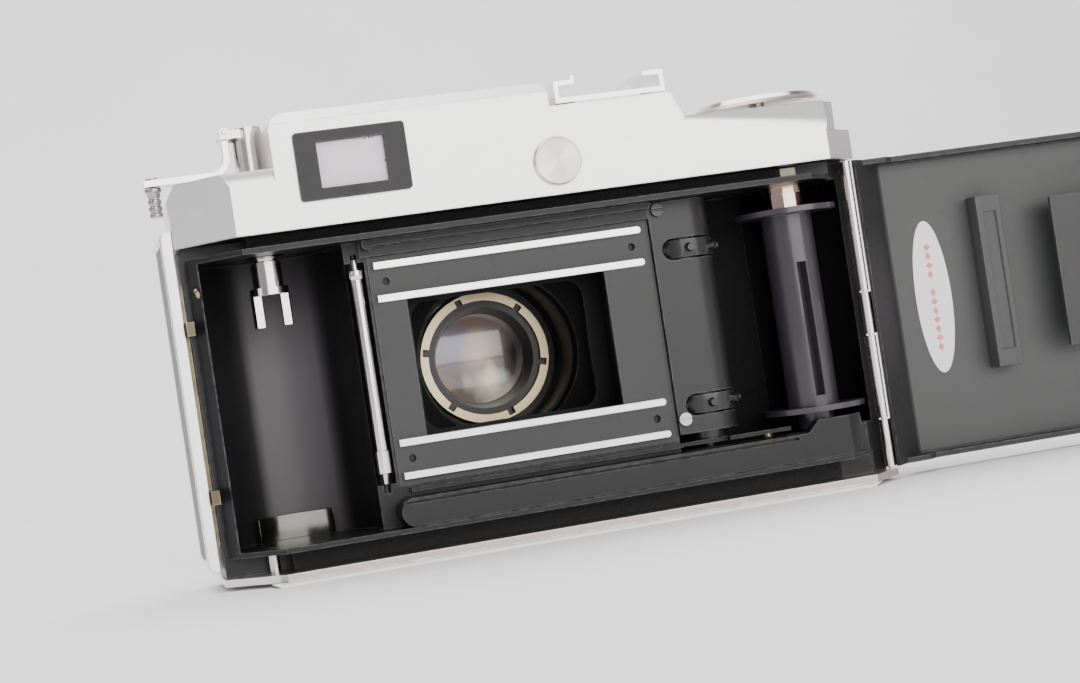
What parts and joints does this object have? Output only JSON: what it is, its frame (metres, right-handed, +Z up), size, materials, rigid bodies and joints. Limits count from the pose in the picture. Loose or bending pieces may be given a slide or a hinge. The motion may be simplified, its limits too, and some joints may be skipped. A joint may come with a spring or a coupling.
{
  "type": "35 mm film camera",
  "caption": "Leaf-shutter rangefinder film camera with its back door open, with working film path, door, rewind crank, levers and lens rings.",
  "frame": {"origin": "mouth of the tripod bush in the middle of the base", "axes": "+Y the way the lens looks, +Z up, +X to the right seen from the film side, X = 0 on the lens axis"},
  "size_m": [0.2478, 0.0669, 0.08],
  "materials": {
    "chassis_black": "satin black paint",
    "gate_black": "matt black paint",
    "rail_steel": "polished",
    "felt_black": "matt",
    "cover_satin_chrome": "pearl satin chrome",
    "eyepiece_black": "satin black",
    "clear_glass": "clear",
    "prism_glass": "clear",
    "turned_cap": "turned face",
    "bright_chrome": "polished",
    "screw_nickel": "nickel plated",
    "screw_black": "blackened",
    "base_satin": "satin chrome",
    "leatherette": "grained black covering",
    "lens_glass": "coated",
    "beige_brass": "dull lacquer",
    "spring_steel": "bright",
    "spool_black": "black moulding",
    "gear_brass": "cut brass",
    "nut_brass": "plated brass",
    "ivory": "ivory",
    "door_grey": "matt black paint",
    "rib_grey": "matt",
    "label_white": "printed paper label",
    "blade_steel": "blued blades",
    "handle_steel": "knurled"
  },
  "bodies": {
    "body": {"body_casting": "chassis_black", "film_gate": "gate_black", "film_rails": "rail_steel", "light_baffle": "gate_black", "gear_housing": "chassis_black", "top_cover": "cover_satin_chrome", "viewfinder_frame": "eyepiece_black", "finder_glasses": "clear_glass", "finder_block": "prism_glass", "front_window_plate": "bright_chrome", "adjuster_cap": "turned_cap", "accessory_shoe": "bright_chrome", "case_screws": "screw_nickel", "chamber_screws": "screw_black", "side_panel": "cover_satin_chrome", "base_plate": "base_satin", "tripod_bush": "screw_nickel", "body_leather": "leatherette", "lens_standard": "cover_satin_chrome", "sprocket_cover": "chassis_black", "cartridge_clip": "spring_steel", "hinge_pin": "bright_chrome", "light_seals": "felt_black"},
    "lens_group": {"shutter_housing": "eyepiece_black", "rear_cell": "gate_black", "rear_glass": "lens_glass", "retaining_ring": "beige_brass", "lens_barrel": "eyepiece_black", "front_glass": "lens_glass"},
    "speed_ring_body": {"speed_ring": "cover_satin_chrome"},
    "aperture_ring_body": {"aperture_ring": "cover_satin_chrome"},
    "focus_ring_body": {"focus_ring": "cover_satin_chrome"},
    "release": {"shutter_release": "bright_chrome"},
    "counter": {"frame_counter": "bright_chrome"},
    "rewind_hub_body": {"rewind_hub": "bright_chrome"},
    "fork": {"rewind_fork": "bright_chrome"},
    "crank": {"crank_arm": "bright_chrome"},
    "crank_grip": {"crank_handle": "handle_steel"},
    "latch": {"latch_bar": "gear_brass"},
    "roller": {"guide_roller": "bright_chrome"},
    "sprocket_body": {"sprocket": "spool_black"},
    "idler": {"idler_gear": "gear_brass"},
    "takeup": {"takeup_spool": "spool_black", "drive_nut": "nut_brass"},
    "plunger": {"reset_plunger": "ivory"},
    "rewind_release": {"rewind_button": "bright_chrome"},
    "door": {"door_shell": "door_grey", "door_hinge_leaf": "bright_chrome", "door_leather": "leatherette", "pressure_plate": "gate_black", "pressure_springs": "spring_steel", "film_guide_rib": "rib_grey", "film_label": "label_white"},
    "advance": {"advance_lever": "bright_chrome"},
    "timer": {"timer_lever": "bright_chrome"},
    "blade_1": {"shutter_blade_1": "blade_steel"},
    "blade_2": {"shutter_blade_2": "blade_steel"},
    "blade_3": {"shutter_blade_3": "blade_steel"},
    "blade_4": {"shutter_blade_4": "blade_steel"},
    "blade_5": {"shutter_blade_5": "blade_steel"}
  },
  "joints": [
    {"name": "door_hinge", "type": "hinge", "parent": "body", "child": "door", "pos_m": [0.0662, -0.008, 0], "axis": [0, 0, 1], "range_deg": [-180, 0]},
    {"name": "lens_focus", "type": "slide", "parent": "body", "child": "lens_group", "axis": [0, 1, 0], "range_m": [0, 0.003]},
    {"name": "focus_turn", "type": "hinge", "parent": "body", "child": "focus_ring_body", "pos_m": [0, 0.018, 0.0333], "axis": [0, 1, 0], "range_deg": [0, 160]},
    {"name": "speed_turn", "type": "hinge", "parent": "lens_group", "child": "speed_ring_body", "pos_m": [0, 0.034, 0.0333], "axis": [0, 1, 0], "range_deg": [0, 150]},
    {"name": "aperture_turn", "type": "hinge", "parent": "lens_group", "child": "aperture_ring_body", "pos_m": [0, 0.038, 0.0333], "axis": [0, 1, 0], "range_deg": [0, 90]},
    {"name": "release_press", "type": "slide", "parent": "body", "child": "release", "axis": [0, 0, -1], "range_m": [0, 0.002], "stiffness_N_per_m": 600, "springref_m": -0.001},
    {"name": "counter_turn", "type": "hinge", "parent": "body", "child": "counter", "pos_m": [0.0532, -0.0015, 0.0702], "axis": [0, 0, 1], "continuous": true},
    {"name": "rewind_pull", "type": "slide", "parent": "body", "child": "rewind_hub_body", "axis": [0, 0, 1], "range_m": [0, 0.012]},
    {"name": "fork_turn", "type": "hinge", "parent": "rewind_hub_body", "child": "fork", "pos_m": [-0.041, -0.002, 0.0473], "axis": [0, 0, 1], "continuous": true},
    {"name": "crank_fold", "type": "hinge", "parent": "rewind_hub_body", "child": "crank", "pos_m": [-0.0451, -0.002, 0.07835], "axis": [0, 1, 0], "range_deg": [0, 180]},
    {"name": "crank_grip_turn", "type": "hinge", "parent": "crank", "child": "crank_grip", "pos_m": [-0.0583, -0.002, 0.0702], "axis": [0, 0, 1], "continuous": true},
    {"name": "latch_slide", "type": "slide", "parent": "body", "child": "latch", "axis": [0, 0, -1], "range_m": [0, 0.002], "stiffness_N_per_m": 300, "springref_m": -0.001},
    {"name": "roller_turn", "type": "hinge", "parent": "body", "child": "roller", "pos_m": [-0.0263, -0.0069, 0.0333], "axis": [0, 0, 1], "continuous": true},
    {"name": "sprocket_turn", "type": "hinge", "parent": "body", "child": "sprocket_body", "pos_m": [0.0342, -0.002, 0.0333], "axis": [0, 0, 1], "continuous": true},
    {"name": "idler_turn", "type": "hinge", "parent": "body", "child": "idler", "pos_m": [0.04562, -0.002, 0.01], "axis": [0, 0, 1], "continuous": true},
    {"name": "takeup_turn", "type": "hinge", "parent": "body", "child": "takeup", "pos_m": [0.0554, -0.002, 0.0333], "axis": [0, 0, 1], "continuous": true},
    {"name": "counter_reset", "type": "slide", "parent": "body", "child": "plunger", "axis": [0, 1, 0], "range_m": [0, 0.0015], "stiffness_N_per_m": 200, "springref_m": -0.001},
    {"name": "rewind_release_press", "type": "slide", "parent": "body", "child": "rewind_release", "axis": [0, 0, 1], "range_m": [0, 0.0012], "stiffness_N_per_m": 400, "springref_m": -0.001},
    {"name": "advance_stroke", "type": "hinge", "parent": "body", "child": "advance", "pos_m": [-0.0305, 0.016, 0.0503], "axis": [0, 1, 0], "range_deg": [0, 60], "stiffness_Nm_per_rad": 0.02, "springref_deg": -20.05},
    {"name": "timer_set", "type": "hinge", "parent": "body", "child": "timer", "pos_m": [0.029, 0.016, 0.0433], "axis": [0, 1, 0], "range_deg": [-90, 0]},
    {"name": "blade_1_swing", "type": "hinge", "parent": "lens_group", "child": "blade_1", "pos_m": [0.01456, 0.029, 0.028], "axis": [0, 1, 0], "range_deg": [0, 50]},
    {"name": "blade_2_swing", "type": "hinge", "parent": "lens_group", "child": "blade_2", "pos_m": [-0.00054, 0.029, 0.01781], "axis": [0, 1, 0], "range_deg": [0, 50]},
    {"name": "blade_3_swing", "type": "hinge", "parent": "lens_group", "child": "blade_3", "pos_m": [-0.0149, 0.029, 0.02903], "axis": [0, 1, 0], "range_deg": [0, 50]},
    {"name": "blade_4_swing", "type": "hinge", "parent": "lens_group", "child": "blade_4", "pos_m": [-0.00867, 0.029, 0.04615], "axis": [0, 1, 0], "range_deg": [0, 50]},
    {"name": "blade_5_swing", "type": "hinge", "parent": "lens_group", "child": "blade_5", "pos_m": [0.00954, 0.029, 0.04551], "axis": [0, 1, 0], "range_deg": [0, 50]}
  ],
  "couplings": [
    {"joint": "focus_turn", "follows": "lens_focus", "rad_per_m": 930.84},
    {"joint": "takeup_turn", "follows": "sprocket_turn", "ratio": 1.3333},
    {"joint": "idler_turn", "follows": "sprocket_turn", "ratio": -1.3333},
    {"joint": "counter_turn", "follows": "sprocket_turn", "ratio": 0.025},
    {"joint": "blade_2_swing", "follows": "blade_1_swing", "ratio": 1},
    {"joint": "blade_3_swing", "follows": "blade_1_swing", "ratio": 1},
    {"joint": "blade_4_swing", "follows": "blade_1_swing", "ratio": 1},
    {"joint": "blade_5_swing", "follows": "blade_1_swing", "ratio": 1}
  ]
}
